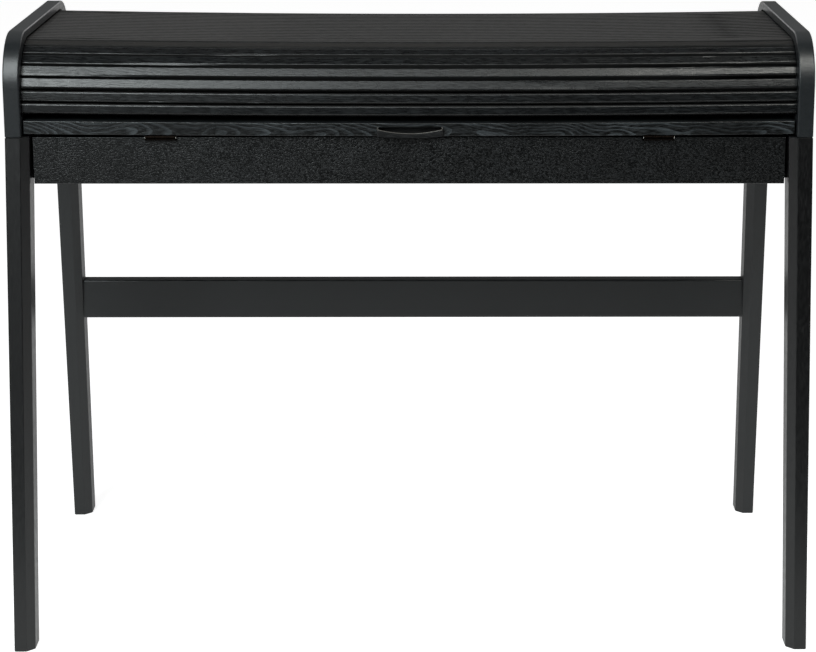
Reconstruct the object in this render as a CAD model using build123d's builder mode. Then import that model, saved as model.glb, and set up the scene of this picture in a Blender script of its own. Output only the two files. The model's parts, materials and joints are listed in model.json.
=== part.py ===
from build123d import *
import math
import os

# Roll top desk in black-stained ash. Millimetres, +Z up, front towards -Y.
# The origin is on the floor, under the middle of the desk's box.

# Case and legs
WIDTH = 1100.0            # over the two side panels
HEIGHT = 854.0
PANEL_DEPTH = 471.0       # side panel, front to back
PANEL_HEIGHT = 137.0      # side panel, above the legs
PANEL_THICK = 22.0
PANEL_CORNER = 70.0       # outline radius of both top corners
EDGE_ROUND = 2.0          # softened edges of panels and legs
EDGE_EASE = 1.2           # planed off round the ends of the legs and the feet of the panels

LEG_TOP_WIDTH = 32.0
LEG_FOOT_WIDTH = 28.0
LEG_TOP_DEPTH = 50.0
LEG_FOOT_DEPTH = 44.0
LEG_CHAMFER = 11.0        # inner front corner of each leg
LEG_SPLAY = 5.0           # feet stand this far outside the panels
FRONT_LEAN = 70.0         # front feet stand this far in front of the panels
REAR_LEAN = 90.0          # rear feet stand this far behind the panels

RAIL_HEIGHT = 62.0
RAIL_THICK = 24.0
RAIL_INSET = 4.0          # side rail behind the outer face of the legs
REAR_RAIL_THICK = 22.0
REAR_RAIL_SETBACK = 1.0   # behind the chamfer of the rear legs
STRETCHER_BOTTOM = 341.0
STRETCHER_HEIGHT = 61.5
STRETCHER_THICK = 26.0
STRETCHER_ROUND = 3.0     # long edges
STRETCHER_SETBACK = 4.0   # behind the chamfer of the rear legs

# Roll top
SLAT_PITCH = 16.5
SLAT_GAP = 1.6
SLAT_THICK = 7.0
SLAT_ROUND = 1.5          # front corners of a slat
SLAT_END_GAP = 0.5        # slat end to side panel
SLAT_INSET = 12.5         # slat face inside the panel outline
SLAT_BEND = 76.0          # bend radius at the slat face
SLAT_LIFT = 8.0           # finger gap between the worktop and the lowest slat
TONGUE_RADIUS = 2.0
TONGUE_CLEAR = 0.3        # tongue end to the bottom of its groove
GROOVE_WIDTH = 11.0
GROOVE_DEPTH = 7.0
GROOVE_FOOT = 6.0         # groove runs on below the lowest slat
SLAT_REST_ANGLE = 34.6    # tail of the closed roll top, down the rear bend
COVER_CLEAR = 4.2         # slat face to back cover
COVER_THICK = 4.0
COVER_SWEEP = 49.5        # degrees of the rear bend that the back cover goes round
BACK_CLEAR = 7.5          # slat back to inner back board
BACK_EDGE_CLEAR = 5.0     # the same at its top edge, under the rear bend
BACK_THICK = 8.0

# Pull-out worktop and its flap
FACE_SETBACK = 10.0       # worktop edge and flap behind the panel fronts
WORKTOP_THICK = 18.0
WORKTOP_SIDE_GAP = 2.7
WORKTOP_BACK_GAP = 8.0    # worktop to inner back board
WORKTOP_LIFT = 0.3        # running clearance over the runners
RUNNER_WIDTH = 22.0
RUNNER_HEIGHT = 23.2
RUNNER_RISE = 3.2         # runners stand this far above the rails
RUNNER_END_GAP = 5.0      # runner to the legs
KEEPER_WIDTH = 16.0
KEEPER_HEIGHT = 11.0
KEEPER_LENGTH = 190.0
BOTTOM_THICK = 6.0
BOTTOM_GAP = 6.0          # compartment bottom behind the flap
FLAP_THICK = 18.0
FLAP_HEIGHT = 67.0
FLAP_SIDE_GAP = 3.5
FLAP_TOP_GAP = 3.4        # flap top to worktop underside

PULL_WIDTH = 90.0         # finger pull let into the worktop edge
PULL_TOP = 5.5            # under the worktop surface
PULL_DEPTH = 16.0
PULL_PROUD = 4.5
PULL_LIP = 3.0
PULL_WALL = 2.0
PULL_RIM_END = 2.2        # lip's rim below the top of the pull, at the ends
PULL_RIM_MIDDLE = 7.8     # and in the middle
PULL_ROUND = 2.5          # front corners of the lip

HINGE_SPACING = 680.0
HINGE_LENGTH = 41.0
HINGE_MIDDLE = 15.0       # length of the middle knuckle
HINGE_DROP = 5.4          # hinge axis under the worktop
HINGE_INSET = 2.2         # hinge axis behind the front of the boards
KNUCKLE_RADIUS = 4.4
KNUCKLE_GAP = 0.3
KNUCKLE_ROOM = 0.6        # notch round the knuckles
PIN_RADIUS = 1.5
PIN_CLEAR = 0.05
PIN_PROUD = 0.8
LEAF_DEPTH = 14.0         # leaf behind the hinge axis
LEAF_THICK = 1.8

DOWEL_RADIUS = 4.0
DOWEL_LENGTH = 36.0
DOWEL_CLEAR = 0.05
DOWEL_END = 1.0           # hole deeper than the dowel at each end
STRETCHER_DOWEL_SHARES = (0.25, 0.75)   # up the height of the stretcher
RAIL_DOWEL_SHARES = (0.3, 0.6)          # up the height of the rear rail, under the panel dowels

# Places that follow from the sizes above
SEAM_HEIGHT = HEIGHT - PANEL_HEIGHT
RAIL_BOTTOM = SEAM_HEIGHT - RAIL_HEIGHT
PANEL_FRONT = FRONT_LEAN - (FRONT_LEAN + PANEL_DEPTH + REAR_LEAN) / 2
PANEL_BACK = PANEL_FRONT + PANEL_DEPTH
PANEL_INNER = WIDTH / 2 - PANEL_THICK
LEG_INNER = WIDTH / 2 - LEG_TOP_WIDTH
FOOT_OUTER = WIDTH / 2 + LEG_SPLAY
FACE_FRONT = PANEL_FRONT + FACE_SETBACK
RUNNER_TOP = SEAM_HEIGHT + RUNNER_RISE
WORKTOP_BOTTOM = RUNNER_TOP + WORKTOP_LIFT
WORKTOP_TOP = WORKTOP_BOTTOM + WORKTOP_THICK
SLAT_START = WORKTOP_TOP + SLAT_LIFT
FLAP_TOP = WORKTOP_BOTTOM - FLAP_TOP_GAP
FLAP_BOTTOM = FLAP_TOP - FLAP_HEIGHT
RAIL_OUTER = WIDTH / 2 - RAIL_INSET
RAIL_INNER = RAIL_OUTER - RAIL_THICK
BACK_INNER_BEND = SLAT_BEND - SLAT_THICK
BEND_SETBACK = SLAT_INSET + SLAT_BEND
BEND_HEIGHT = HEIGHT - BEND_SETBACK
BACK_REAR = PANEL_BACK - SLAT_INSET - SLAT_THICK - BACK_CLEAR
BACK_TOP = BEND_HEIGHT + math.sqrt(
    (BACK_INNER_BEND - BACK_EDGE_CLEAR) ** 2 - (BACK_INNER_BEND - BACK_CLEAR) ** 2
)
WORKTOP_DEPTH = BACK_REAR - BACK_THICK - WORKTOP_BACK_GAP - FACE_FRONT
RUNNER_START = PANEL_FRONT + LEG_TOP_DEPTH + RUNNER_END_GAP
RUNNER_END = PANEL_BACK - LEG_TOP_DEPTH - RUNNER_END_GAP
BOTTOM_FRONT = FACE_FRONT + FLAP_THICK + BOTTOM_GAP
SLAT_LENGTH = 2 * (PANEL_INNER - SLAT_END_GAP)
TONGUE_LENGTH = SLAT_END_GAP + GROOVE_DEPTH - TONGUE_CLEAR
BIG = 2 * WIDTH           # longer than any piece, for cuts that pass right through

os.makedirs("parts", exist_ok=True)


def save(piece, name):
    piece.part.label = name
    export_step(piece.part, f"parts/{name}.step")


def rear_leg_front(height):
    """Y of the rear legs' front face at a height."""
    top = PANEL_BACK - LEG_TOP_DEPTH
    foot = PANEL_BACK + REAR_LEAN - LEG_FOOT_DEPTH
    return foot + (top - foot) * height / SEAM_HEIGHT


# Dowels: where they stand, and the direction they run in
STRETCHER_FRONT = rear_leg_front(STRETCHER_BOTTOM + STRETCHER_HEIGHT / 2) + LEG_CHAMFER + STRETCHER_SETBACK
STRETCHER_MIDDLE = STRETCHER_FRONT + STRETCHER_THICK / 2
REAR_RAIL_FRONT = rear_leg_front(RAIL_BOTTOM) + LEG_CHAMFER + REAR_RAIL_SETBACK
REAR_RAIL_MIDDLE = REAR_RAIL_FRONT + REAR_RAIL_THICK / 2
PANEL_DOWEL_X = WIDTH / 2 - (PANEL_THICK - GROOVE_DEPTH) / 2
PANEL_DOWELS = [
    (side * PANEL_DOWEL_X, y, SEAM_HEIGHT)
    for side in (-1, 1)
    for y in (PANEL_FRONT + LEG_TOP_DEPTH / 2, PANEL_BACK - LEG_TOP_DEPTH / 2)
]
STRETCHER_DOWELS = [
    (side * LEG_INNER, STRETCHER_MIDDLE, STRETCHER_BOTTOM + share * STRETCHER_HEIGHT)
    for side in (-1, 1)
    for share in STRETCHER_DOWEL_SHARES
]
RAIL_DOWELS = [
    (side * LEG_INNER, REAR_RAIL_MIDDLE, RAIL_BOTTOM + share * RAIL_HEIGHT)
    for side in (-1, 1)
    for share in RAIL_DOWEL_SHARES
]


def dowel_holes():
    """Holes for every dowel; only those that meet the piece in work cut it."""
    radius = DOWEL_RADIUS + DOWEL_CLEAR
    length = DOWEL_LENGTH + 2 * DOWEL_END
    with Locations(*PANEL_DOWELS):
        Cylinder(radius, length, mode=Mode.SUBTRACT)
    with Locations(*STRETCHER_DOWELS, *RAIL_DOWELS):
        Cylinder(radius, length, rotation=(0, 90, 0), mode=Mode.SUBTRACT)


def leg(top_front, foot_front):
    """A right-hand leg: tapered, leaning, with a broad chamfer on its inner front corner."""
    with BuildPart() as piece:
        with BuildSketch(Plane.YZ):
            with BuildLine():
                Polyline(
                    (top_front, SEAM_HEIGHT),
                    (top_front + LEG_TOP_DEPTH, SEAM_HEIGHT),
                    (foot_front + LEG_FOOT_DEPTH, 0),
                    (foot_front, 0),
                    close=True,
                )
            make_face()
        extrude(amount=WIDTH)
        with BuildSketch(Plane.XZ):
            with BuildLine():
                Polyline(
                    (LEG_INNER, SEAM_HEIGHT),
                    (WIDTH / 2, SEAM_HEIGHT),
                    (FOOT_OUTER, 0),
                    (FOOT_OUTER - LEG_FOOT_WIDTH, 0),
                    close=True,
                )
            make_face()
        extrude(amount=BIG, both=True, mode=Mode.INTERSECT)
        upright = piece.edges().filter_by(lambda edge: edge.length > SEAM_HEIGHT - EDGE_ROUND)
        inner_front = upright.group_by(Axis.X)[0].sort_by(Axis.Y)[0]
        chamfer(inner_front, length=LEG_CHAMFER)
        upright = piece.edges().filter_by(lambda edge: edge.length > SEAM_HEIGHT - EDGE_ROUND)
        fillet(upright, radius=EDGE_ROUND)
        dowel_holes()
    return piece


def eased(piece):
    """A leg with the edges of its two ends planed off."""
    with BuildPart() as finished:
        add(piece.part)
        ends = finished.faces().sort_by(Axis.Z)
        chamfer(ends[0].outer_wire().edges() + ends[-1].outer_wire().edges(), length=EDGE_EASE)
    return finished


def mirrored(piece):
    with BuildPart() as other:
        mirror(piece.part, about=Plane.YZ)
    return other


front_leg_right = leg(PANEL_FRONT, PANEL_FRONT - FRONT_LEAN)
rear_leg_right = leg(PANEL_BACK - LEG_TOP_DEPTH, PANEL_BACK + REAR_LEAN - LEG_FOOT_DEPTH)
front_leg_left = mirrored(front_leg_right)
rear_leg_left = mirrored(rear_leg_right)
save(eased(front_leg_right), "front_leg_right")
save(eased(front_leg_left), "front_leg_left")
save(eased(rear_leg_right), "rear_leg_right")
save(eased(rear_leg_left), "rear_leg_left")
LEGS = [piece.part for piece in (front_leg_right, front_leg_left, rear_leg_right, rear_leg_left)]


def between_legs():
    """Cuts the ends of the piece in work to the faces of the legs."""
    for part in LEGS:
        add(part, mode=Mode.SUBTRACT)


# Rails and stretcher, cut to the slanting faces of the legs
with BuildPart() as side_rail_right:
    with BuildSketch(Plane.XY.offset(RAIL_BOTTOM)):
        with Locations((RAIL_INNER, PANEL_FRONT + LEG_TOP_DEPTH / 2)):
            Rectangle(RAIL_THICK, PANEL_DEPTH - LEG_TOP_DEPTH, align=(Align.MIN, Align.MIN))
    extrude(amount=RAIL_HEIGHT)
    between_legs()
    dowel_holes()
save(side_rail_right, "side_rail_right")
side_rail_left = mirrored(side_rail_right)
save(side_rail_left, "side_rail_left")

with BuildPart() as rear_rail:
    with BuildSketch(Plane.XY.offset(RAIL_BOTTOM)):
        with Locations((0, REAR_RAIL_FRONT)):
            Rectangle(2 * LEG_INNER + LEG_TOP_WIDTH, REAR_RAIL_THICK, align=(Align.CENTER, Align.MIN))
    extrude(amount=RAIL_HEIGHT)
    between_legs()
    dowel_holes()
    for rail in (side_rail_right, side_rail_left):
        add(rail.part, mode=Mode.SUBTRACT)
save(rear_rail, "rear_rail")

with BuildPart() as stretcher:
    with BuildSketch(Plane.XY.offset(STRETCHER_BOTTOM)):
        with Locations((0, STRETCHER_FRONT)):
            Rectangle(2 * LEG_INNER + LEG_TOP_WIDTH, STRETCHER_THICK, align=(Align.CENTER, Align.MIN))
    extrude(amount=STRETCHER_HEIGHT)
    fillet(stretcher.edges().filter_by(Axis.X), radius=STRETCHER_ROUND)
    between_legs()
    dowel_holes()
save(stretcher, "stretcher")

for name, places, turn in (
    ("panel_dowels", PANEL_DOWELS, (0, 0, 0)),
    ("stretcher_dowels", STRETCHER_DOWELS, (0, 90, 0)),
    ("rear_rail_dowels", RAIL_DOWELS, (0, 90, 0)),
):
    with BuildPart() as dowels:
        with Locations(*places):
            Cylinder(DOWEL_RADIUS, DOWEL_LENGTH, rotation=turn)
    save(dowels, name)


def track_face(inset, thick, front_foot=None, sweep=90.0):
    """A band along the roll top's track, between two distances inside the panel outline.

    It ends at the seam behind. It starts at a foot in front, or else so many degrees up the rear bend.
    """
    outer = BEND_SETBACK - inset
    inner = outer - thick
    front_y = PANEL_FRONT + BEND_SETBACK
    rear_y = PANEL_BACK - BEND_SETBACK
    with BuildLine() as band:
        for radius in (outer, inner):
            if front_foot is not None:
                Line((front_y - radius, front_foot), (front_y - radius, BEND_HEIGHT))
                CenterArc((front_y, BEND_HEIGHT), radius, 180, -90)
                Line((front_y, BEND_HEIGHT + radius), (rear_y, BEND_HEIGHT + radius))
            CenterArc((rear_y, BEND_HEIGHT), radius, sweep, -sweep)
            Line((rear_y + radius, BEND_HEIGHT), (rear_y + radius, SEAM_HEIGHT))
        if front_foot is not None:
            Line((front_y - outer, front_foot), (front_y - inner, front_foot))
        else:
            up = math.radians(sweep)
            edge = [
                (rear_y + radius * math.cos(up), BEND_HEIGHT + radius * math.sin(up))
                for radius in (outer, inner)
            ]
            Line(*edge)
        Line((rear_y + outer, SEAM_HEIGHT), (rear_y + inner, SEAM_HEIGHT))
    make_face(band.edges())


# Side panels, with both top corners rounded and the track let into the inner face
with BuildPart() as side_panel_right:
    with BuildSketch(Plane.YZ.offset(PANEL_INNER)) as outline:
        with Locations((PANEL_FRONT, SEAM_HEIGHT)):
            Rectangle(PANEL_DEPTH, PANEL_HEIGHT, align=(Align.MIN, Align.MIN))
        fillet(outline.vertices().group_by(Axis.Y)[-1], radius=PANEL_CORNER)
    extrude(amount=PANEL_THICK)
    rims = side_panel_right.faces().filter_by(Axis.X).edges()
    fillet(rims.filter_by(lambda edge: edge.center().Z > SEAM_HEIGHT + EDGE_ROUND), radius=EDGE_ROUND)
    chamfer(side_panel_right.faces().sort_by(Axis.Z)[0].edges(), length=EDGE_EASE)
    with BuildSketch(Plane.YZ.offset(PANEL_INNER)):
        middle = SLAT_INSET + SLAT_THICK / 2
        track_face(middle - GROOVE_WIDTH / 2, GROOVE_WIDTH, SLAT_START - GROOVE_FOOT)
    extrude(amount=GROOVE_DEPTH, mode=Mode.SUBTRACT)
    dowel_holes()
save(side_panel_right, "side_panel_right")
side_panel_left = mirrored(side_panel_right)
save(side_panel_left, "side_panel_left")

# Bent back cover, standing on the rear legs between the panels
with BuildPart() as back_cover:
    with BuildSketch(Plane.YZ.offset(-PANEL_INNER)):
        track_face(SLAT_INSET - COVER_CLEAR - COVER_THICK, COVER_THICK, sweep=COVER_SWEEP)
    extrude(amount=2 * PANEL_INNER)
save(back_cover, "back_cover")

# Inner back board, standing on the rear rail in front of the tail of the roll top
with BuildPart() as inner_back:
    with BuildSketch(Plane.XY.offset(SEAM_HEIGHT)):
        with Locations((0, BACK_REAR)):
            Rectangle(2 * PANEL_INNER, BACK_THICK, align=(Align.CENTER, Align.MAX))
    extrude(amount=BACK_TOP - SEAM_HEIGHT)
save(inner_back, "inner_back")

# Compartment bottom, between the side rails
with BuildPart() as compartment_bottom:
    with BuildSketch(Plane.XY.offset(RAIL_BOTTOM)):
        with Locations((0, BOTTOM_FRONT)):
            Rectangle(2 * RAIL_INNER, REAR_RAIL_FRONT - BOTTOM_FRONT, align=(Align.CENTER, Align.MIN))
    extrude(amount=BOTTOM_THICK)
    between_legs()
save(compartment_bottom, "compartment_bottom")

# Worktop runners: a ledge on the side rail, and a keeper above that stops the board tipping
with BuildPart() as worktop_runner_right:
    with BuildSketch(Plane.XY.offset(RUNNER_TOP - RUNNER_HEIGHT)):
        with Locations((RAIL_INNER, RUNNER_START)):
            Rectangle(RUNNER_WIDTH, RUNNER_END - RUNNER_START, align=(Align.MAX, Align.MIN))
    extrude(amount=RUNNER_HEIGHT)
    with BuildSketch(Plane.XY.offset(WORKTOP_TOP + WORKTOP_LIFT)):
        with Locations((PANEL_INNER, RUNNER_END)):
            Rectangle(KEEPER_WIDTH, KEEPER_LENGTH, align=(Align.MAX, Align.MAX))
    extrude(amount=KEEPER_HEIGHT)
save(worktop_runner_right, "worktop_runner_right")
worktop_runner_left = mirrored(worktop_runner_right)
save(worktop_runner_left, "worktop_runner_left")


# Worktop board, with a notch in its front edge for the pull
PULL_HEIGHT = WORKTOP_THICK - PULL_TOP
with BuildPart() as worktop:
    with BuildSketch(Plane.XY.offset(WORKTOP_BOTTOM)):
        with Locations((0, FACE_FRONT)):
            width = 2 * (PANEL_INNER - WORKTOP_SIDE_GAP)
            Rectangle(width, WORKTOP_DEPTH, align=(Align.CENTER, Align.MIN))
    extrude(amount=WORKTOP_THICK)
    front_edges = worktop.edges().filter_by(Axis.X).group_by(Axis.Y)[0]
    fillet(front_edges, radius=EDGE_ROUND / 2)
    with BuildSketch(Plane.XY.offset(WORKTOP_BOTTOM)):
        with Locations((0, FACE_FRONT)):
            Rectangle(PULL_WIDTH, PULL_DEPTH, align=(Align.CENTER, Align.MIN))
    extrude(amount=PULL_HEIGHT, mode=Mode.SUBTRACT)
save(worktop, "worktop")

# Finger pull: a trough behind a proud lip, whose rim dips in the middle
PULL_FRONT = FACE_FRONT - PULL_PROUD
with BuildPart() as finger_pull:
    with BuildSketch(Plane.XY.offset(WORKTOP_BOTTOM)):
        with Locations((0, PULL_FRONT)):
            Rectangle(PULL_WIDTH, PULL_PROUD + PULL_DEPTH, align=(Align.CENTER, Align.MIN))
    extrude(amount=PULL_HEIGHT)
    fillet(finger_pull.edges().filter_by(Axis.Z).group_by(Axis.Y)[0], radius=PULL_ROUND)
    with BuildSketch(Plane.XY.offset(WORKTOP_BOTTOM + PULL_WALL)):
        with Locations((0, PULL_FRONT + PULL_LIP)):
            reach = PULL_PROUD + PULL_DEPTH - PULL_LIP - PULL_WALL
            Rectangle(PULL_WIDTH - 2 * PULL_WALL, reach, align=(Align.CENTER, Align.MIN))
    extrude(amount=PULL_HEIGHT, mode=Mode.SUBTRACT)
    with BuildSketch(Plane.XZ.offset(-PULL_FRONT)):
        top = WORKTOP_BOTTOM + PULL_HEIGHT
        half = PULL_WIDTH / 2
        with BuildLine():
            Polyline((-half, top - PULL_RIM_END), (-half, top), (half, top), (half, top - PULL_RIM_END))
            ThreePointArc(
                (half, top - PULL_RIM_END),
                (0, top - PULL_RIM_MIDDLE),
                (-half, top - PULL_RIM_END),
            )
        make_face()
    extrude(amount=-PULL_LIP, mode=Mode.SUBTRACT)
save(finger_pull, "finger_pull")

HINGE_AXIS_Y = FACE_FRONT + HINGE_INSET
HINGE_AXIS_Z = WORKTOP_BOTTOM - HINGE_DROP
HINGE_SIDES = (-HINGE_SPACING / 2, HINGE_SPACING / 2)
HINGE_PLACES = [(x, HINGE_AXIS_Y, HINGE_AXIS_Z) for x in HINGE_SIDES]
WORKTOP_LEAF_LOW = WORKTOP_BOTTOM - LEAF_THICK
FLAP_LEAF_LOW = HINGE_AXIS_Z - KNUCKLE_RADIUS
NOTCH_LENGTH = HINGE_LENGTH + 2 * (PIN_PROUD + KNUCKLE_ROOM)
NOTCH_RADIUS = KNUCKLE_RADIUS + KNUCKLE_ROOM

# Front flap under the worktop edge, notched for the knuckles and leaves of its hinges
with BuildPart() as front_flap:
    with BuildSketch(Plane.XY.offset(FLAP_BOTTOM)):
        with Locations((0, FACE_FRONT)):
            Rectangle(2 * (LEG_INNER - FLAP_SIDE_GAP), FLAP_THICK, align=(Align.CENTER, Align.MIN))
    extrude(amount=FLAP_HEIGHT)
    front_edges = front_flap.edges().filter_by(Axis.X).group_by(Axis.Y)[0]
    fillet(front_edges, radius=EDGE_ROUND / 2)
    for low, reach in (
        (HINGE_AXIS_Z - NOTCH_RADIUS, NOTCH_RADIUS),
        (FLAP_LEAF_LOW, LEAF_DEPTH + KNUCKLE_GAP),
    ):
        with BuildSketch(Plane.XY.offset(low)):
            with Locations(*[(x, FACE_FRONT) for x in HINGE_SIDES]):
                Rectangle(NOTCH_LENGTH, HINGE_INSET + reach, align=(Align.CENTER, Align.MIN))
        extrude(amount=FLAP_HEIGHT, mode=Mode.SUBTRACT)
save(front_flap, "front_flap")


def hinge_leaves(leaf_low, knuckles, other_knuckles):
    """Both hinges' leaves of one side, with their share of the knuckles.

    Knuckles are (middle, length) along the hinge axis.
    """
    with BuildPart() as leaves:
        with Locations(*[(x, HINGE_AXIS_Y, leaf_low) for x in HINGE_SIDES]):
            Box(HINGE_LENGTH, LEAF_DEPTH, LEAF_THICK, align=(Align.CENTER, Align.MIN, Align.MIN))
        for middle, length in other_knuckles:
            with Locations(*[(x + middle, y, z) for x, y, z in HINGE_PLACES]):
                room = 2 * (KNUCKLE_RADIUS + KNUCKLE_GAP)
                Box(length + 2 * KNUCKLE_GAP, room, room + LEAF_THICK, mode=Mode.SUBTRACT)
        for middle, length in knuckles:
            with Locations(*[(x + middle, y, z) for x, y, z in HINGE_PLACES]):
                Cylinder(KNUCKLE_RADIUS, length, rotation=(0, 90, 0))
        with Locations(*HINGE_PLACES):
            Cylinder(PIN_RADIUS + PIN_CLEAR, BIG, rotation=(0, 90, 0), mode=Mode.SUBTRACT)
    return leaves


OUTER_LENGTH = (HINGE_LENGTH - HINGE_MIDDLE) / 2 - KNUCKLE_GAP
OUTER_MIDDLE = (HINGE_LENGTH - OUTER_LENGTH) / 2
OUTER_KNUCKLES = [(-OUTER_MIDDLE, OUTER_LENGTH), (OUTER_MIDDLE, OUTER_LENGTH)]
MIDDLE_KNUCKLE = [(0, HINGE_MIDDLE)]
save(hinge_leaves(WORKTOP_LEAF_LOW, OUTER_KNUCKLES, MIDDLE_KNUCKLE), "worktop_hinge_leaves")
save(hinge_leaves(FLAP_LEAF_LOW, MIDDLE_KNUCKLE, OUTER_KNUCKLES), "flap_hinge_leaves")

with BuildPart() as hinge_pins:
    with Locations(*HINGE_PLACES):
        Cylinder(PIN_RADIUS, HINGE_LENGTH + 2 * PIN_PROUD, rotation=(0, 90, 0))
save(hinge_pins, "hinge_pins")


# Roll top: slats at an even pitch along the track, measured at their backs
def slat_plane(travel):
    """Where a slat's back lies after a travel along the track: local X along it, local Y outwards."""
    front_run = BEND_HEIGHT - SLAT_START
    bend_run = BACK_INNER_BEND * math.pi / 2
    flat_run = PANEL_DEPTH - 2 * BEND_SETBACK
    if travel < front_run:
        angle = 0.0
        y = PANEL_FRONT + SLAT_INSET + SLAT_THICK
        z = SLAT_START + travel
    elif travel < front_run + bend_run:
        angle = (travel - front_run) / BACK_INNER_BEND
        y = PANEL_FRONT + BEND_SETBACK - BACK_INNER_BEND * math.cos(angle)
        z = BEND_HEIGHT + BACK_INNER_BEND * math.sin(angle)
    elif travel < front_run + bend_run + flat_run:
        angle = math.pi / 2
        y = PANEL_FRONT + BEND_SETBACK + travel - front_run - bend_run
        z = HEIGHT - SLAT_INSET - SLAT_THICK
    else:
        turn = (travel - front_run - bend_run - flat_run) / BACK_INNER_BEND
        angle = math.pi / 2 + turn
        y = PANEL_BACK - BEND_SETBACK + BACK_INNER_BEND * math.sin(turn)
        z = BEND_HEIGHT + BACK_INNER_BEND * math.cos(turn)
    along = (0, math.sin(angle), math.cos(angle))
    return Plane(origin=(0, y, z), x_dir=along, z_dir=(1, 0, 0))


def slat(middle):
    """One slat with rounded front corners, and a round tongue at each end."""
    place = slat_plane(middle)
    with BuildPart() as piece:
        with BuildSketch(place.offset(-SLAT_LENGTH / 2)) as profile:
            Rectangle(SLAT_PITCH - SLAT_GAP, SLAT_THICK, align=(Align.CENTER, Align.MIN))
            fillet(profile.vertices().group_by(Axis.Y)[-1], radius=SLAT_ROUND)
        extrude(amount=SLAT_LENGTH)
        with BuildSketch(place.offset(-SLAT_LENGTH / 2 - TONGUE_LENGTH)):
            with Locations((0, SLAT_THICK / 2)):
                Circle(TONGUE_RADIUS)
        extrude(amount=SLAT_LENGTH + 2 * TONGUE_LENGTH)
    return piece


TRACK_LENGTH = (
    BEND_HEIGHT - SLAT_START
    + BACK_INNER_BEND * (math.pi / 2 + math.radians(SLAT_REST_ANGLE))
    + PANEL_DEPTH - 2 * BEND_SETBACK
)
for number in range(1, round(TRACK_LENGTH / SLAT_PITCH) + 1):
    save(slat((number - 0.5) * SLAT_PITCH), f"slat_{number:02d}")
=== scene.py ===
import bmesh
import bpy
import json
import math
from mathutils import Matrix, Vector

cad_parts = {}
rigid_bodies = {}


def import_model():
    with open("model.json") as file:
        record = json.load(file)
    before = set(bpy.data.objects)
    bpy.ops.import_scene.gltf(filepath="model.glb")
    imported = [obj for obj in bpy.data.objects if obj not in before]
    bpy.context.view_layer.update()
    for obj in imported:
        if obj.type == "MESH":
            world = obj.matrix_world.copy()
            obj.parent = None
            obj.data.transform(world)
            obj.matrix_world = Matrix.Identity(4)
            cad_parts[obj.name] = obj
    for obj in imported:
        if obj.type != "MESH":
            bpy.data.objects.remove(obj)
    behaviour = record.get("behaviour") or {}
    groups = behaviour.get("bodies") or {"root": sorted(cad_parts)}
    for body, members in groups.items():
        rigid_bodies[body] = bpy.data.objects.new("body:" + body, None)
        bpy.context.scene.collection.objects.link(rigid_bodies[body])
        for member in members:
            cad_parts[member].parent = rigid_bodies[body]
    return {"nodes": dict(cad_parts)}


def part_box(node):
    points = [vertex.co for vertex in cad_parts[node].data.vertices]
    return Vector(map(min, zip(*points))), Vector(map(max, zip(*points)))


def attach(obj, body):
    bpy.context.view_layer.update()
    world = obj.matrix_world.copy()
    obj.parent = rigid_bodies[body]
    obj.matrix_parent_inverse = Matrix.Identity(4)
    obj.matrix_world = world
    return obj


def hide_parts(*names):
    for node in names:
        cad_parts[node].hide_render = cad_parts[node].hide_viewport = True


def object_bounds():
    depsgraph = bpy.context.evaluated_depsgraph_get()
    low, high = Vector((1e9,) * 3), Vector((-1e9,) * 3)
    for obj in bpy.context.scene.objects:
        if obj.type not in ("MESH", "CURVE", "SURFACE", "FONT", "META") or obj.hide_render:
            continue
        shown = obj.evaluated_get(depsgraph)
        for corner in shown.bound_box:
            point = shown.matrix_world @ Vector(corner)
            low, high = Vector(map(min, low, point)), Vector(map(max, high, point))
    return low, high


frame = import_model()
cad_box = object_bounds()

# Legs: four tapered legs of solid ash, stained black and sprayed with satin lacquer.
# Each is sawn to a lean, planed to a broad chamfer inside, and doweled into the panel above it.


def linear(colour):
    """An sRGB hex colour as linear red, green, blue and alpha."""
    channels = [int(colour[i:i + 2], 16) / 255 for i in (1, 3, 5)]
    return [c / 12.92 if c <= 0.04045 else ((c + 0.055) / 1.055) ** 2.4 for c in channels] + [1.0]


def add(tree, kind, inputs=None, **settings):
    """Adds a node with its settings, and gives its inputs a value or a link."""
    node = tree.nodes.new(kind)
    for name, value in settings.items():
        setattr(node, name, value)
    for name, value in (inputs or {}).items():
        if isinstance(value, bpy.types.NodeSocket):
            tree.links.new(value, node.inputs[name])
        else:
            node.inputs[name].default_value = value
    return node


# Turns that bring the direction of the grain to X
GRAIN_TURNS = {"X": (0, 0, 0), "Y": (0, 0, -math.pi / 2), "Z": (0, math.pi / 2, 0)}
STRAY_LENGTH = 0.11  # over which the heart of the log strays along the grain
STRAY_WIDTH = 0.2  # and across it
PATCH = 0.07  # the breadth of a patch where the stain took unevenly
FLOOR_SHEEN_HEIGHT = 0.6  # up to which the front legs turn paler, a painted reflection of the floor


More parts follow.
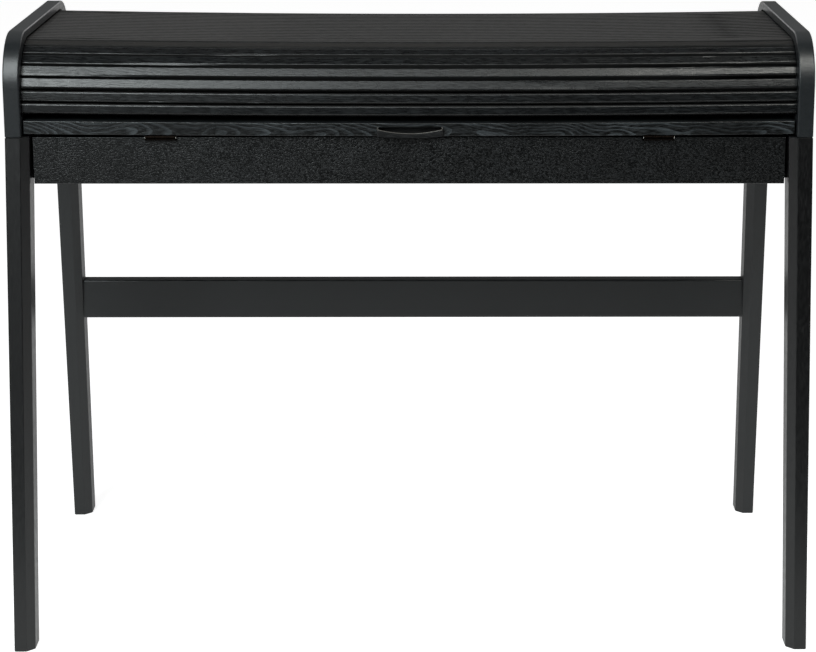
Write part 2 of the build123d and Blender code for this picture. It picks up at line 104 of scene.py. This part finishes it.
def stained_ash(name, along, ground, streak, ring=0.0035, figure=0.3, fleck=0.5, gloss=0.3, relief=0.00015,
                wander=0.01, taper=0.06, pore=(0.012, 0.0016), floor_sheen=None, dusty=None):
    """Black-stained ash under satin lacquer: a dark ground, with paler rings, and flecks at the open pores.

    The grain runs along one axis. ring is the spacing of the growth rings, wander how far the heart of the
    log strays, pore the length and width of the pores and relief their depth, all in metres; taper is how
    fast the rings run out of the board.
    figure and fleck are the shares of the streak's colour in rings and pores, gloss is the lacquer's
    roughness, floor_sheen is the paler colour that the bottom turns to, a painted reflection of the floor,
    and dusty the roughness of faces that lie level.
    """
    material = bpy.data.materials.new(name)
    material.use_nodes = True
    tree = material.node_tree
    tree.nodes.clear()
    place = add(tree, "ShaderNodeTexCoord")
    board = add(tree, "ShaderNodeAttribute", attribute_name="board")
    moved = add(tree, "ShaderNodeVectorMath", operation="ADD",
                inputs={0: place.outputs["Object"], 1: board.outputs["Vector"]})
    turned = add(tree, "ShaderNodeMapping", vector_type="POINT",
                 inputs={"Vector": moved.outputs[0], "Rotation": GRAIN_TURNS[along]})

    # Rings are circles about the heart of the log, which strays, so a board shows them as nested arches
    stretch = add(tree, "ShaderNodeVectorMath", operation="MULTIPLY",
                  inputs={0: turned.outputs[0], 1: (1 / STRAY_LENGTH, 1 / STRAY_WIDTH, 1 / STRAY_WIDTH)})
    stray = add(tree, "ShaderNodeTexNoise",
                inputs={"Vector": stretch.outputs[0], "Scale": 1.0, "Detail": 2.0, "Roughness": 0.45})
    centred = add(tree, "ShaderNodeVectorMath", operation="SUBTRACT",
                  inputs={0: stray.outputs["Color"], 1: (0.5, 0.5, 0.5)})
    bent = add(tree, "ShaderNodeVectorMath", operation="MULTIPLY_ADD",
               inputs={0: centred.outputs[0], 1: (0, 2 * wander, 2 * wander), 2: turned.outputs[0]})
    across = add(tree, "ShaderNodeVectorMath", operation="MULTIPLY",
                 inputs={0: bent.outputs[0], 1: (0, 1, 1)})
    radius = add(tree, "ShaderNodeVectorMath", operation="LENGTH", inputs={0: across.outputs[0]})
    run_out = add(tree, "ShaderNodeVectorMath", operation="DOT_PRODUCT",
                  inputs={0: bent.outputs[0], 1: (taper, 0, 0)})
    depth = add(tree, "ShaderNodeMath", operation="ADD",
                inputs={0: radius.outputs["Value"], 1: run_out.outputs["Value"]})
    count = add(tree, "ShaderNodeMath", operation="DIVIDE", inputs={0: depth.outputs[0], 1: ring})
    cycle = add(tree, "ShaderNodeMath", operation="FRACT", inputs={0: count.outputs[0]})
    line = add(tree, "ShaderNodeMapRange", interpolation_type="SMOOTHSTEP",
               inputs={"Value": cycle.outputs[0], "From Min": 0.5, "From Max": 0.95})

    # Pores are short dashes along the grain, drawn about 1.6 mm wide so that they show in the render
    dashed = add(tree, "ShaderNodeVectorMath", operation="MULTIPLY",
                 inputs={0: bent.outputs[0], 1: (1 / pore[0], 1 / pore[1], 1 / pore[1])})
    pores = add(tree, "ShaderNodeTexNoise",
                inputs={"Vector": dashed.outputs[0], "Scale": 1.0, "Detail": 2.0, "Roughness": 0.6})
    pored = add(tree, "ShaderNodeMapRange",
                inputs={"Value": pores.outputs["Fac"], "From Min": 0.42, "From Max": 0.68})

    # The stain took unevenly, so rings and pores fade from patch to patch
    patch = add(tree, "ShaderNodeTexNoise",
                inputs={"Vector": turned.outputs[0], "Scale": 1 / PATCH, "Detail": 2.0})
    uneven = add(tree, "ShaderNodeMapRange", inputs={"Value": patch.outputs["Fac"], "From Min": 0.35,
                                                     "From Max": 0.65, "To Min": 0.3, "To Max": 1.0})
    ringed = add(tree, "ShaderNodeMath", operation="MULTIPLY", inputs={0: line.outputs[0], 1: figure})
    flecked = add(tree, "ShaderNodeMath", operation="MULTIPLY_ADD",
                  inputs={0: pored.outputs[0], 1: fleck, 2: ringed.outputs[0]})
    shown = add(tree, "ShaderNodeMath", operation="MULTIPLY", use_clamp=True,
                inputs={0: flecked.outputs[0], 1: uneven.outputs[0]})
    tint = add(tree, "ShaderNodeMix", data_type="RGBA",
               inputs={"Factor": shown.outputs[0], "A": linear(ground), "B": linear(streak)})
    colour = tint.outputs["Result"]
    # Painted reflection: towards the bottom the colour turns paler, for the bright floor mirrored in the
    # lacquer
    if floor_sheen:
        height = add(tree, "ShaderNodeSeparateXYZ", inputs={"Vector": place.outputs["Object"]})
        low = add(tree, "ShaderNodeMapRange", interpolation_type="SMOOTHSTEP",
                  inputs={"Value": height.outputs["Z"], "From Min": FLOOR_SHEEN_HEIGHT, "From Max": 0.0})
        painted_sheen = add(tree, "ShaderNodeMix", data_type="RGBA",
                     inputs={"Factor": low.outputs[0], "A": colour, "B": linear(floor_sheen)})
        colour = painted_sheen.outputs["Result"]

    # Lacquer is thin over the pores and dull there, and duller where dust lies on a level face
    rough = add(tree, "ShaderNodeMapRange",
                inputs={"Value": pored.outputs[0], "To Min": gloss, "To Max": gloss + 0.15})
    if dusty:
        facing = add(tree, "ShaderNodeNewGeometry")
        upward = add(tree, "ShaderNodeSeparateXYZ", inputs={"Vector": facing.outputs["Normal"]})
        rough = add(tree, "ShaderNodeMapRange", inputs={"Value": upward.outputs["Z"], "From Min": 0.8,
                                                        "To Min": rough.outputs[0], "To Max": dusty})
    pitted = add(tree, "ShaderNodeBump",
                 inputs={"Height": pored.outputs[0], "Strength": 0.5, "Distance": relief})
    surface = add(tree, "ShaderNodeBsdfPrincipled", inputs={
        "Base Color": colour, "Roughness": rough.outputs[0], "Normal": pitted.outputs[0], "IOR": 1.5})
    add(tree, "ShaderNodeOutputMaterial", inputs={"Surface": surface.outputs[0]})
    return material


def finish_nodes(material, *names):
    """Gives CAD nodes a material in place of their plain one."""
    for name in names:
        slots = frame["nodes"][name].data.materials
        slots.clear()
        slots.append(material)


PLANED = 0.00004  # the relief that a planed and sprayed bar keeps
# The front legs turn paler towards the feet: a painted reflection of the floor
front_leg_ash = stained_ash("lacquered ash front leg", "Z", "#050506", "#0b0c0c", figure=0.2, relief=PLANED,
                            floor_sheen="#0e0f10")
finish_nodes(front_leg_ash, "front_leg_left", "front_leg_right")
# The rear legs get a paler ground than the front legs: painted light, for the brighter light on the back of
# the frame
lit_rear_leg_ash = stained_ash("lacquered ash rear leg", "Z", "#181a1b", "#1f2122", figure=0.2, gloss=0.38,
                           relief=PLANED)
finish_nodes(lit_rear_leg_ash, "rear_leg_left", "rear_leg_right")

# Rails and stretcher: planed ash bars that tie the legs together, glued and doweled at their ends.
# The stain and lacquer are the legs' own, with the grain along each bar. The rear rail and stretcher take the
# rear legs' paler ground, which is painted light for the light that falls on the back of the frame.
side_rail_ash = stained_ash("lacquered ash side rail", "Y", "#0d0e0f", "#1a1b1c", figure=0.2, relief=PLANED)
finish_nodes(side_rail_ash, "side_rail_left", "side_rail_right")
# Paler ground of the rear rail and stretcher: painted light, as on the rear legs
lit_cross_bar_ash = stained_ash("lacquered ash cross bar", "X", "#181a1b", "#1f2122", figure=0.2, gloss=0.38,
                            relief=PLANED, dusty=0.9)
finish_nodes(lit_cross_bar_ash, "rear_rail", "stretcher")

# Dowels: turned beech pegs, glued half into one piece and half into the next.
# They are left bare inside the joints: pale, matt wood with fine flecks.
BEECH_FLECK = 0.002
beech = bpy.data.materials.new("plain beech")
beech.use_nodes = True
beech_tree = beech.node_tree
beech_surface = beech_tree.nodes["Principled BSDF"]
beech_surface.inputs["Roughness"].default_value = 0.6
beech_place = add(beech_tree, "ShaderNodeTexCoord")
beech_fleck = add(beech_tree, "ShaderNodeTexNoise",
                  inputs={"Vector": beech_place.outputs["Object"], "Scale": 1 / BEECH_FLECK, "Detail": 2.0})
beech_tint = add(beech_tree, "ShaderNodeMix", data_type="RGBA",
                 inputs={"Factor": beech_fleck.outputs["Fac"], "A": linear("#c79a6c"),
                         "B": linear("#dcb88e")})
beech_tree.links.new(beech_tint.outputs["Result"], beech_surface.inputs["Base Color"])
finish_nodes(beech, "panel_dowels", "stretcher_dowels", "rear_rail_dowels")

# Side panels: solid ash ends with rounded shoulders, standing on the legs.
# The track for the roll top is routed into their inner faces.
panel_ash = stained_ash("lacquered ash panel", "Y", "#1a1d1f", "#24272a", figure=0.2, relief=PLANED,
                        dusty=0.8)
finish_nodes(panel_ash, "side_panel_left", "side_panel_right")

# Boards inside the case: thin ash-veneered panels behind and under the worktop, and its runners.
# They are stained with the rest and hardly seen when the desk is shut.
board_ash = stained_ash("stained ash veneer", "X", "#0d0f10", "#25292b", ring=0.006)
finish_nodes(board_ash, "back_cover", "inner_back", "compartment_bottom")
runner_ash = stained_ash("waxed ash runner", "Y", "#0d0e0f", "#1e2021")
finish_nodes(runner_ash, "worktop_runner_left", "worktop_runner_right")

# Worktop: an 18 mm board veneered in ash, with a solid lipping whose cathedral grain shows in front.
# It spans the whole case on two runners, and has sunk by a little in the middle.
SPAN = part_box("slat_01")[1].x
STRIPS = 24  # along the span, so that a sunk board is a smooth curve
MERGE = 1e-6  # within which corners are one
LEVEL_ANGLE = math.radians(0.5)  # under which two faces are one
CREASE_ANGLE = math.radians(35)  # over which an edge stays sharp
WORKTOP_SAG = 0.0031


def drop(sag, x):
    """How far a sunk board hangs at x: a flat curve, with its ends held in the case."""
    return sag * max(0.0, 1 - (x / SPAN) ** 2)


def sunk(node, name, sag, material, body, board=(0.0, 0.0, 0.0)):
    """A copy of a CAD board that hangs lower in the middle of its span, riding in its place."""
    shape = bmesh.new()
    shape.from_mesh(frame["nodes"][node].data)
    bmesh.ops.remove_doubles(shape, verts=shape.verts, dist=MERGE)
    bmesh.ops.dissolve_limit(shape, angle_limit=LEVEL_ANGLE, verts=shape.verts, edges=shape.edges)
    for step in range(1, STRIPS):
        cut = SPAN * (2 * step / STRIPS - 1)
        bmesh.ops.bisect_plane(shape, geom=shape.verts[:] + shape.edges[:] + shape.faces[:], dist=MERGE,
                               plane_co=(cut, 0, 0), plane_no=(1, 0, 0))
    for vert in shape.verts:
        vert.co.z -= drop(sag, vert.co.x)
    mesh = bpy.data.meshes.new(name)
    shape.to_mesh(mesh)
    shape.free()
    mesh.polygons.foreach_set("use_smooth", [True] * len(mesh.polygons))
    mesh.attributes.remove(mesh.attributes["custom_normal"])  # the CAD's normals no longer fit
    mesh.set_sharp_from_angle(angle=CREASE_ANGLE)
    offset = mesh.attributes.new("board", "FLOAT_VECTOR", "POINT")
    offset.data.foreach_set("vector", list(board) * len(mesh.vertices))
    mesh.materials.append(material)
    piece = bpy.data.objects.new(name, mesh)
    bpy.context.scene.collection.objects.link(piece)
    flat = piece.modifiers.new("flat_faces", "WEIGHTED_NORMAL")
    flat.keep_sharp = True
    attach(piece, body)
    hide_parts(node)
    return piece


LIPPING_HEART = (0.3, 0.012, 0.010)  # where the lipping was sawn, from the heart of the log
lipping_ash = stained_ash("stained ash lipping", "X", "#020303", "#3a3f42", ring=0.0038, figure=0.75,
                          fleck=0.35, wander=0.018, taper=0.07, relief=0.0002)
worktop_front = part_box("worktop")[0].y
worktop_level = (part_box("worktop")[0].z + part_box("worktop")[1].z) / 2
sunk("worktop", "sunk_worktop", WORKTOP_SAG, lipping_ash, "worktop",
     (LIPPING_HEART[0], LIPPING_HEART[1] - worktop_front, LIPPING_HEART[2] - worktop_level))

# Finger pull: a trough of turned hardwood let into the worktop's edge, with a thin dipped lip.
# Fingers hook behind the lip; its rim is bevelled and given a pale colour, a painted highlight.
PULL_STRIPS = 16
LIP_BELLY = 0.0018  # how far the lip's lower edge curves down in the middle
PULL_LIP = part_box("worktop")[0].y - 0.001  # the lip stands before the worktop's edge
RIM_ROUND = 0.0009
pull_wood = stained_ash("handled hardwood pull", "X", "#0a0b0c", "#131415", gloss=0.35, relief=PLANED)
pull = sunk("finger_pull", "sunk_finger_pull", WORKTOP_SAG, pull_wood, "worktop")
# A pale material for the rim's bevel: a painted highlight along the lip
rim_highlight_wood = stained_ash("rubbed hardwood rim", "X", "#3a3733", "#4a4742", relief=PLANED / 2)
pull.data.materials.append(rim_highlight_wood)
pull_shape = bmesh.new()
pull_shape.from_mesh(pull.data)
lip = [edge for edge in pull_shape.edges if len(edge.link_faces) == 2 and edge.verts[0].co.y < PULL_LIP
       and edge.verts[1].co.y < PULL_LIP and max(face.normal.z for face in edge.link_faces) > 0.7
       and max(abs(face.normal.y) for face in edge.link_faces) > 0.5]
rim = bmesh.ops.bevel(pull_shape, geom=lip, offset=RIM_ROUND, affect="EDGES", segments=3, profile=0.5,
                      material=-1)
# The bevel's faces take the painted highlight
for face in rim["faces"]:
    face.material_index = 1
pull_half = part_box("finger_pull")[1].x
pull_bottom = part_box("finger_pull")[0].z - WORKTOP_SAG
for step in range(1, PULL_STRIPS):
    cut = pull_half * (2 * step / PULL_STRIPS - 1)
    bmesh.ops.bisect_plane(pull_shape, geom=pull_shape.verts[:] + pull_shape.edges[:] + pull_shape.faces[:],
                           dist=MERGE, plane_co=(cut, 0, 0), plane_no=(1, 0, 0))
for vert in pull_shape.verts:
    if vert.co.y < PULL_LIP and vert.co.z < pull_bottom + LIP_BELLY / 4:
        vert.co.z -= LIP_BELLY * (1 - (vert.co.x / pull_half) ** 2)
pull_shape.to_mesh(pull.data)
pull_shape.free()

# Front flap: a long veneered board on two butt hinges under the worktop.
# Its face stands back behind the worktop's edge, and its filled veneer shows only fine flecks.
FLAP_SETBACK = 0.0065
FLAP_DROP = 0.0022  # planed off the upper edge for room, which leaves a dark line under the worktop
KNUCKLE_ROOM = 0.008  # how deep the front of the flap is cut for the hinges
flap_ash = stained_ash("filled ash veneer flap", "X", "#030404", "#181b1d", figure=0.06, fleck=0.7,
                       gloss=0.28, relief=0.0004, wander=0.009, pore=(0.0034, 0.0018))
flap = sunk("front_flap", "set_back_flap", 0.0, flap_ash, "flap")
flap_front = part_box("front_flap")[0].y
flap_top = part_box("front_flap")[1].z
for vert in flap.data.vertices:
    if vert.co.y < flap_front + KNUCKLE_ROOM:
        vert.co.y += FLAP_SETBACK
    if vert.co.z > flap_top - FLAP_DROP:
        vert.co.z -= FLAP_DROP

# Hinges: pressed steel butts, bronzed, with a bright steel pin through each set of knuckles.
# The leaves are screwed under the worktop and into a notch in the flap.
# Bronzing leaves the steel nearly black, with a cloudy brown bloom and an uneven shine.
BRONZE_CLOUD = 0.004
bronze = bpy.data.materials.new("bronzed steel")
bronze.use_nodes = True
bronze_tree = bronze.node_tree
bronze_surface = bronze_tree.nodes["Principled BSDF"]
bronze_surface.inputs["Metallic"].default_value = 1.0
bronze_place = add(bronze_tree, "ShaderNodeTexCoord")
bronze_cloud = add(bronze_tree, "ShaderNodeTexNoise",
                   inputs={"Vector": bronze_place.outputs["Object"], "Scale": 1 / BRONZE_CLOUD,
                           "Detail": 3.0})
bronze_tint = add(bronze_tree, "ShaderNodeMix", data_type="RGBA",
                  inputs={"Factor": bronze_cloud.outputs["Fac"], "A": linear("#030303"),
                          "B": linear("#120d0a")})
bronze_rough = add(bronze_tree, "ShaderNodeMapRange",
                   inputs={"Value": bronze_cloud.outputs["Fac"], "To Min": 0.3, "To Max": 0.5})
bronze_tree.links.new(bronze_tint.outputs["Result"], bronze_surface.inputs["Base Color"])
bronze_tree.links.new(bronze_rough.outputs[0], bronze_surface.inputs["Roughness"])
finish_nodes(bronze, "worktop_hinge_leaves", "flap_hinge_leaves")

# A drawn pin stays bright, and fine scratches break up its shine
PIN_SCRATCH = 0.0008
pin_steel = bpy.data.materials.new("bright drawn steel")
pin_steel.use_nodes = True
pin_tree = pin_steel.node_tree
pin_surface = pin_tree.nodes["Principled BSDF"]
pin_surface.inputs["Metallic"].default_value = 1.0
pin_surface.inputs["Base Color"].default_value = linear("#c9c8c4")
pin_place = add(pin_tree, "ShaderNodeTexCoord")
pin_scratch = add(pin_tree, "ShaderNodeTexNoise",
                  inputs={"Vector": pin_place.outputs["Object"], "Scale": 1 / PIN_SCRATCH, "Detail": 2.0})
pin_rough = add(pin_tree, "ShaderNodeMapRange",
                inputs={"Value": pin_scratch.outputs["Fac"], "To Min": 0.2, "To Max": 0.4})
pin_tree.links.new(pin_rough.outputs[0], pin_surface.inputs["Roughness"])
finish_nodes(pin_steel, "hinge_pins")

# Roll top: narrow ash slats side by side on a canvas, with a tongue at each end that runs in the track.
# They are sawn from different boards, so no two have the same figure, and all hang a little in the middle.
SLAT_SAG_FRONT = 0.0041
SLAT_SAG_BACK = 0.0048
CASE_MIDDLE = 0.6  # a height inside the case, from which every slat's face looks away
SLAT_ROUND = 0.00151  # just over the radius of the front edges
SLAT_WORN = 0.75  # the share by which sanding has made that radius larger
SLAT_EASED = 0.0018  # planed off the lower flank, so that the gap opens towards the front
FLANK_FRONT = 0.7  # how far a face has to turn to the gap to take the dark flank colour, painted shade in the gap
FLANK_TOP = 0.3  # on the flat top the roundings take the dark flank colour too, painted shade along the gaps
MATT_FROM = 7  # the first slat on the flat top, where wiping and dust have dulled the lacquer
BOARD_LENGTH = 0.71  # from one slat to the next along the boards that they are sawn from
HEART_NEAR = 0.012  # the least distance of a slat from the heart of its log
HEART_STEP = 0.011  # and its steps outwards
ACROSS_STEP = 0.007  # a slat's steps to the side of the heart
slat_ash = stained_ash("open-grained ash slat", "X", "#050607", "#191d1f", figure=0.3, fleck=0.5, gloss=0.27,
                       relief=0.0001, pore=(0.016, 0.0014))
# The top slats' ground is warmer and paler than the front slats': painted warm light on the level top; their
# dull lacquer is roughness
matt_warm_lit_ash = stained_ash("dulled ash slat", "X", "#0d0a07", "#1b1815", figure=0.3, fleck=0.45, gloss=0.72)
# A near-black, matt ash for the faces turned to the gaps: painted shade between the slats
gap_shade_ash = stained_ash("bare ash flank", "X", "#040404", "#0a0a0a", gloss=0.75)
slat_bodies = {name: node.parent.name.removeprefix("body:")
               for name, node in sorted(frame["nodes"].items()) if name.startswith("slat_")}
for order, (slat, body) in enumerate(slat_bodies.items()):
    share = order / (len(slat_bodies) - 1)
    sag = SLAT_SAG_FRONT + (SLAT_SAG_BACK - SLAT_SAG_FRONT) * share
    middle = (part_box(slat)[0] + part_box(slat)[1]) / 2
    # A slat comes from one of five depths in a board and one of seven places across it
    heart = (BOARD_LENGTH * order, HEART_NEAR + HEART_STEP * (order * 2 % 5),
             ACROSS_STEP * (order * 3 % 7 - 3))
    board = (heart[0], heart[1] - middle.y, heart[2] - middle.z)
    in_front = order < MATT_FROM - 1
    piece = sunk(slat, "roll_" + slat, sag, slat_ash if in_front else matt_warm_lit_ash, body, board)
    piece.data.materials.append(gap_shade_ash)

    # Each corner's place along the track and out from the case, before the slat sank
    outside = middle - Vector((0, 0, CASE_MIDDLE))
    face = max(piece.data.polygons, key=lambda side: side.area if side.normal.dot(outside) > 0 else 0.0)
    outward = face.normal.copy()
    travel = outward.cross(Vector((1, 0, 0)))
    levels = [vert.co - middle + Vector((0, 0, drop(sag, vert.co.x))) for vert in piece.data.vertices]
    spots = [(level.dot(travel), level.dot(outward)) for level in levels]
    low = min(along for along, out in spots)
    high = max(along for along, out in spots)
    front = max(out for along, out in spots)
    for vert, (along, out) in zip(piece.data.vertices, spots):
        if along < low + SLAT_EASED and out > 0:
            vert.co += SLAT_EASED * travel
        corner = low if along < 0 else high
        if out > front - SLAT_ROUND and abs(along - corner) < SLAT_ROUND:
            vert.co += SLAT_WORN * ((along - corner) * travel + (out - front) * outward)
    flank = FLANK_FRONT if in_front else FLANK_TOP
    # Faces turned to the gap get the dark flank material: painted shade
    for side in piece.data.polygons:
        side.material_index = 1 if abs(side.normal.dot(travel)) > flank else 0

# Floor: one wide sheet of white studio paper, which ends in front of the desk and takes the feet's shadow.
# It is lit to well under white, and made up to white for the eye, and in part for reflections.
FLOOR_REACH = 30.0
FLOOR_FRONT = -1.1
SEEN_LIFT = 0.72
MIRRORED_LIFT = 0.3
floor_shape = bmesh.new()
bmesh.ops.create_grid(floor_shape, x_segments=1, y_segments=1, size=FLOOR_REACH)
bmesh.ops.translate(floor_shape, vec=(0, FLOOR_FRONT + FLOOR_REACH, 0), verts=floor_shape.verts)
floor_mesh = bpy.data.meshes.new("studio_floor")
floor_shape.to_mesh(floor_mesh)
floor_shape.free()
floor = bpy.data.objects.new("studio_floor", floor_mesh)
bpy.context.scene.collection.objects.link(floor)
paper = bpy.data.materials.new("white studio paper")
paper.use_nodes = True
paper_tree = paper.node_tree
paper_tree.nodes.clear()
ray = add(paper_tree, "ShaderNodeLightPath")
seen = add(paper_tree, "ShaderNodeMath", operation="MAXIMUM",
           inputs={0: ray.outputs["Is Camera Ray"], 1: ray.outputs["Is Transmission Ray"]})
mirrored = add(paper_tree, "ShaderNodeMath", operation="MULTIPLY",
               inputs={0: ray.outputs["Is Glossy Ray"], 1: MIRRORED_LIFT})
lift = add(paper_tree, "ShaderNodeMath", operation="MULTIPLY_ADD",
           inputs={0: seen.outputs[0], 1: SEEN_LIFT, 2: mirrored.outputs[0]})
glow = add(paper_tree, "ShaderNodeEmission", inputs={"Color": (1, 1, 1, 1), "Strength": lift.outputs[0]})
matt = add(paper_tree, "ShaderNodeBsdfDiffuse", inputs={"Color": linear("#e8e8e8")})
both = add(paper_tree, "ShaderNodeAddShader", inputs={0: glow.outputs[0], 1: matt.outputs[0]})
add(paper_tree, "ShaderNodeOutputMaterial", inputs={"Surface": both.outputs[0]})
floor_mesh.materials.append(paper)

# Studio light: a white backdrop behind the desk and an unlit room in front of it, which the lacquer reflects,
# a soft box up and to the left, a weaker one to the right, and strips at the sides that reach the rear legs.
world = bpy.data.worlds.new("white studio")
bpy.context.scene.world = world
world.use_nodes = True
world_tree = world.node_tree
world_tree.nodes.clear()
ray = add(world_tree, "ShaderNodeLightPath")
looking = add(world_tree, "ShaderNodeTexCoord")
towards = add(world_tree, "ShaderNodeSeparateXYZ", inputs={"Vector": looking.outputs["Generated"]})
backdrop = add(world_tree, "ShaderNodeMapRange", interpolation_type="SMOOTHSTEP",
               inputs={"Value": towards.outputs["Y"], "From Min": 0.35, "From Max": 0.95, "To Min": 0.03})
mirrored = add(world_tree, "ShaderNodeMapRange", inputs={"Value": ray.outputs["Is Glossy Ray"], "To Min": 0.3,
                                                         "To Max": backdrop.outputs[0]})
seen = add(world_tree, "ShaderNodeMath", operation="MAXIMUM",
           inputs={0: ray.outputs["Is Camera Ray"], 1: ray.outputs["Is Transmission Ray"]})
level = add(world_tree, "ShaderNodeMapRange",
            inputs={"Value": seen.outputs[0], "To Min": mirrored.outputs[0]})
sky = add(world_tree, "ShaderNodeBackground", inputs={"Color": (1, 1, 1, 1), "Strength": level.outputs[0]})
add(world_tree, "ShaderNodeOutputWorld", inputs={"Surface": sky.outputs[0]})

middle = (cad_box[0] + cad_box[1]) / 2
for name, place, size, colour, power in (
    ("soft_box_left", (-1.1, -2.6, 2.5), (1.0, 2.2), (0.93, 1.0, 1.01), 78.0),
    ("soft_box_middle", (0.1, -2.6, 2.75), (1.4, 1.8), (0.97, 1.0, 1.0), 6.0),
    ("soft_box_right", (1.2, -2.3, 3.3), (0.8, 1.8), (1.0, 1.0, 0.94), 42.0),
    ("soft_box_low", (-1.1, -2.7, 0.5), (1.0, 1.0), (0.95, 1.0, 1.01), 1.6),
    ("side_strip_left", (-3.0, -0.5, 0.25), (0.6, 1.0), (1.0, 1.0, 1.0), 2.5),
    ("side_strip_right", (3.0, -0.5, 0.25), (0.6, 1.0), (1.0, 1.0, 1.0), 1.0),
):
    lamp = bpy.data.lights.new(name, "AREA")
    lamp.shape = "RECTANGLE"
    lamp.size, lamp.size_y = size
    lamp.color = colour
    lamp.energy = power
    lamp_object = bpy.data.objects.new(name, lamp)
    lamp_object.location = place
    lamp_object.rotation_euler = (middle - Vector(place)).to_track_quat("-Z", "Y").to_euler()
    bpy.context.scene.collection.objects.link(lamp_object)

# Camera: where the photograph was taken from, found by fitting the desk's outline.
# Place in metres, turns in degrees, and the focal length and optical axis in pixels of the image.
IMAGE_WIDTH = 816
IMAGE_HEIGHT = 652
FOCAL_PIXELS = 2430.7
AXIS_X = 470.5
AXIS_Y = 293.0
CAMERA_PLACE = (0.0342, -3.5070, 1.3011)
CAMERA_TURN = 0.857
CAMERA_DIP = 13.806
CAMERA_ROLL = 0.146
lens = bpy.data.cameras.new("studio_camera")
lens.sensor_width = 36.0
lens.lens = lens.sensor_width * FOCAL_PIXELS / IMAGE_WIDTH
lens.shift_x = (IMAGE_WIDTH / 2 - AXIS_X) / IMAGE_WIDTH
lens.shift_y = (AXIS_Y - IMAGE_HEIGHT / 2) / IMAGE_WIDTH
lens.clip_end = 100.0
camera = bpy.data.objects.new("studio_camera", lens)
camera.matrix_world = (
    Matrix.Translation(CAMERA_PLACE)
    @ Matrix.Rotation(math.radians(-CAMERA_TURN), 4, "Z")
    @ Matrix.Rotation(math.radians(90 - CAMERA_DIP), 4, "X")
    @ Matrix.Rotation(math.radians(CAMERA_ROLL), 4, "Z")
)
bpy.context.scene.collection.objects.link(camera)
bpy.context.scene.camera = camera
bpy.context.scene.view_settings.view_transform = "Standard"
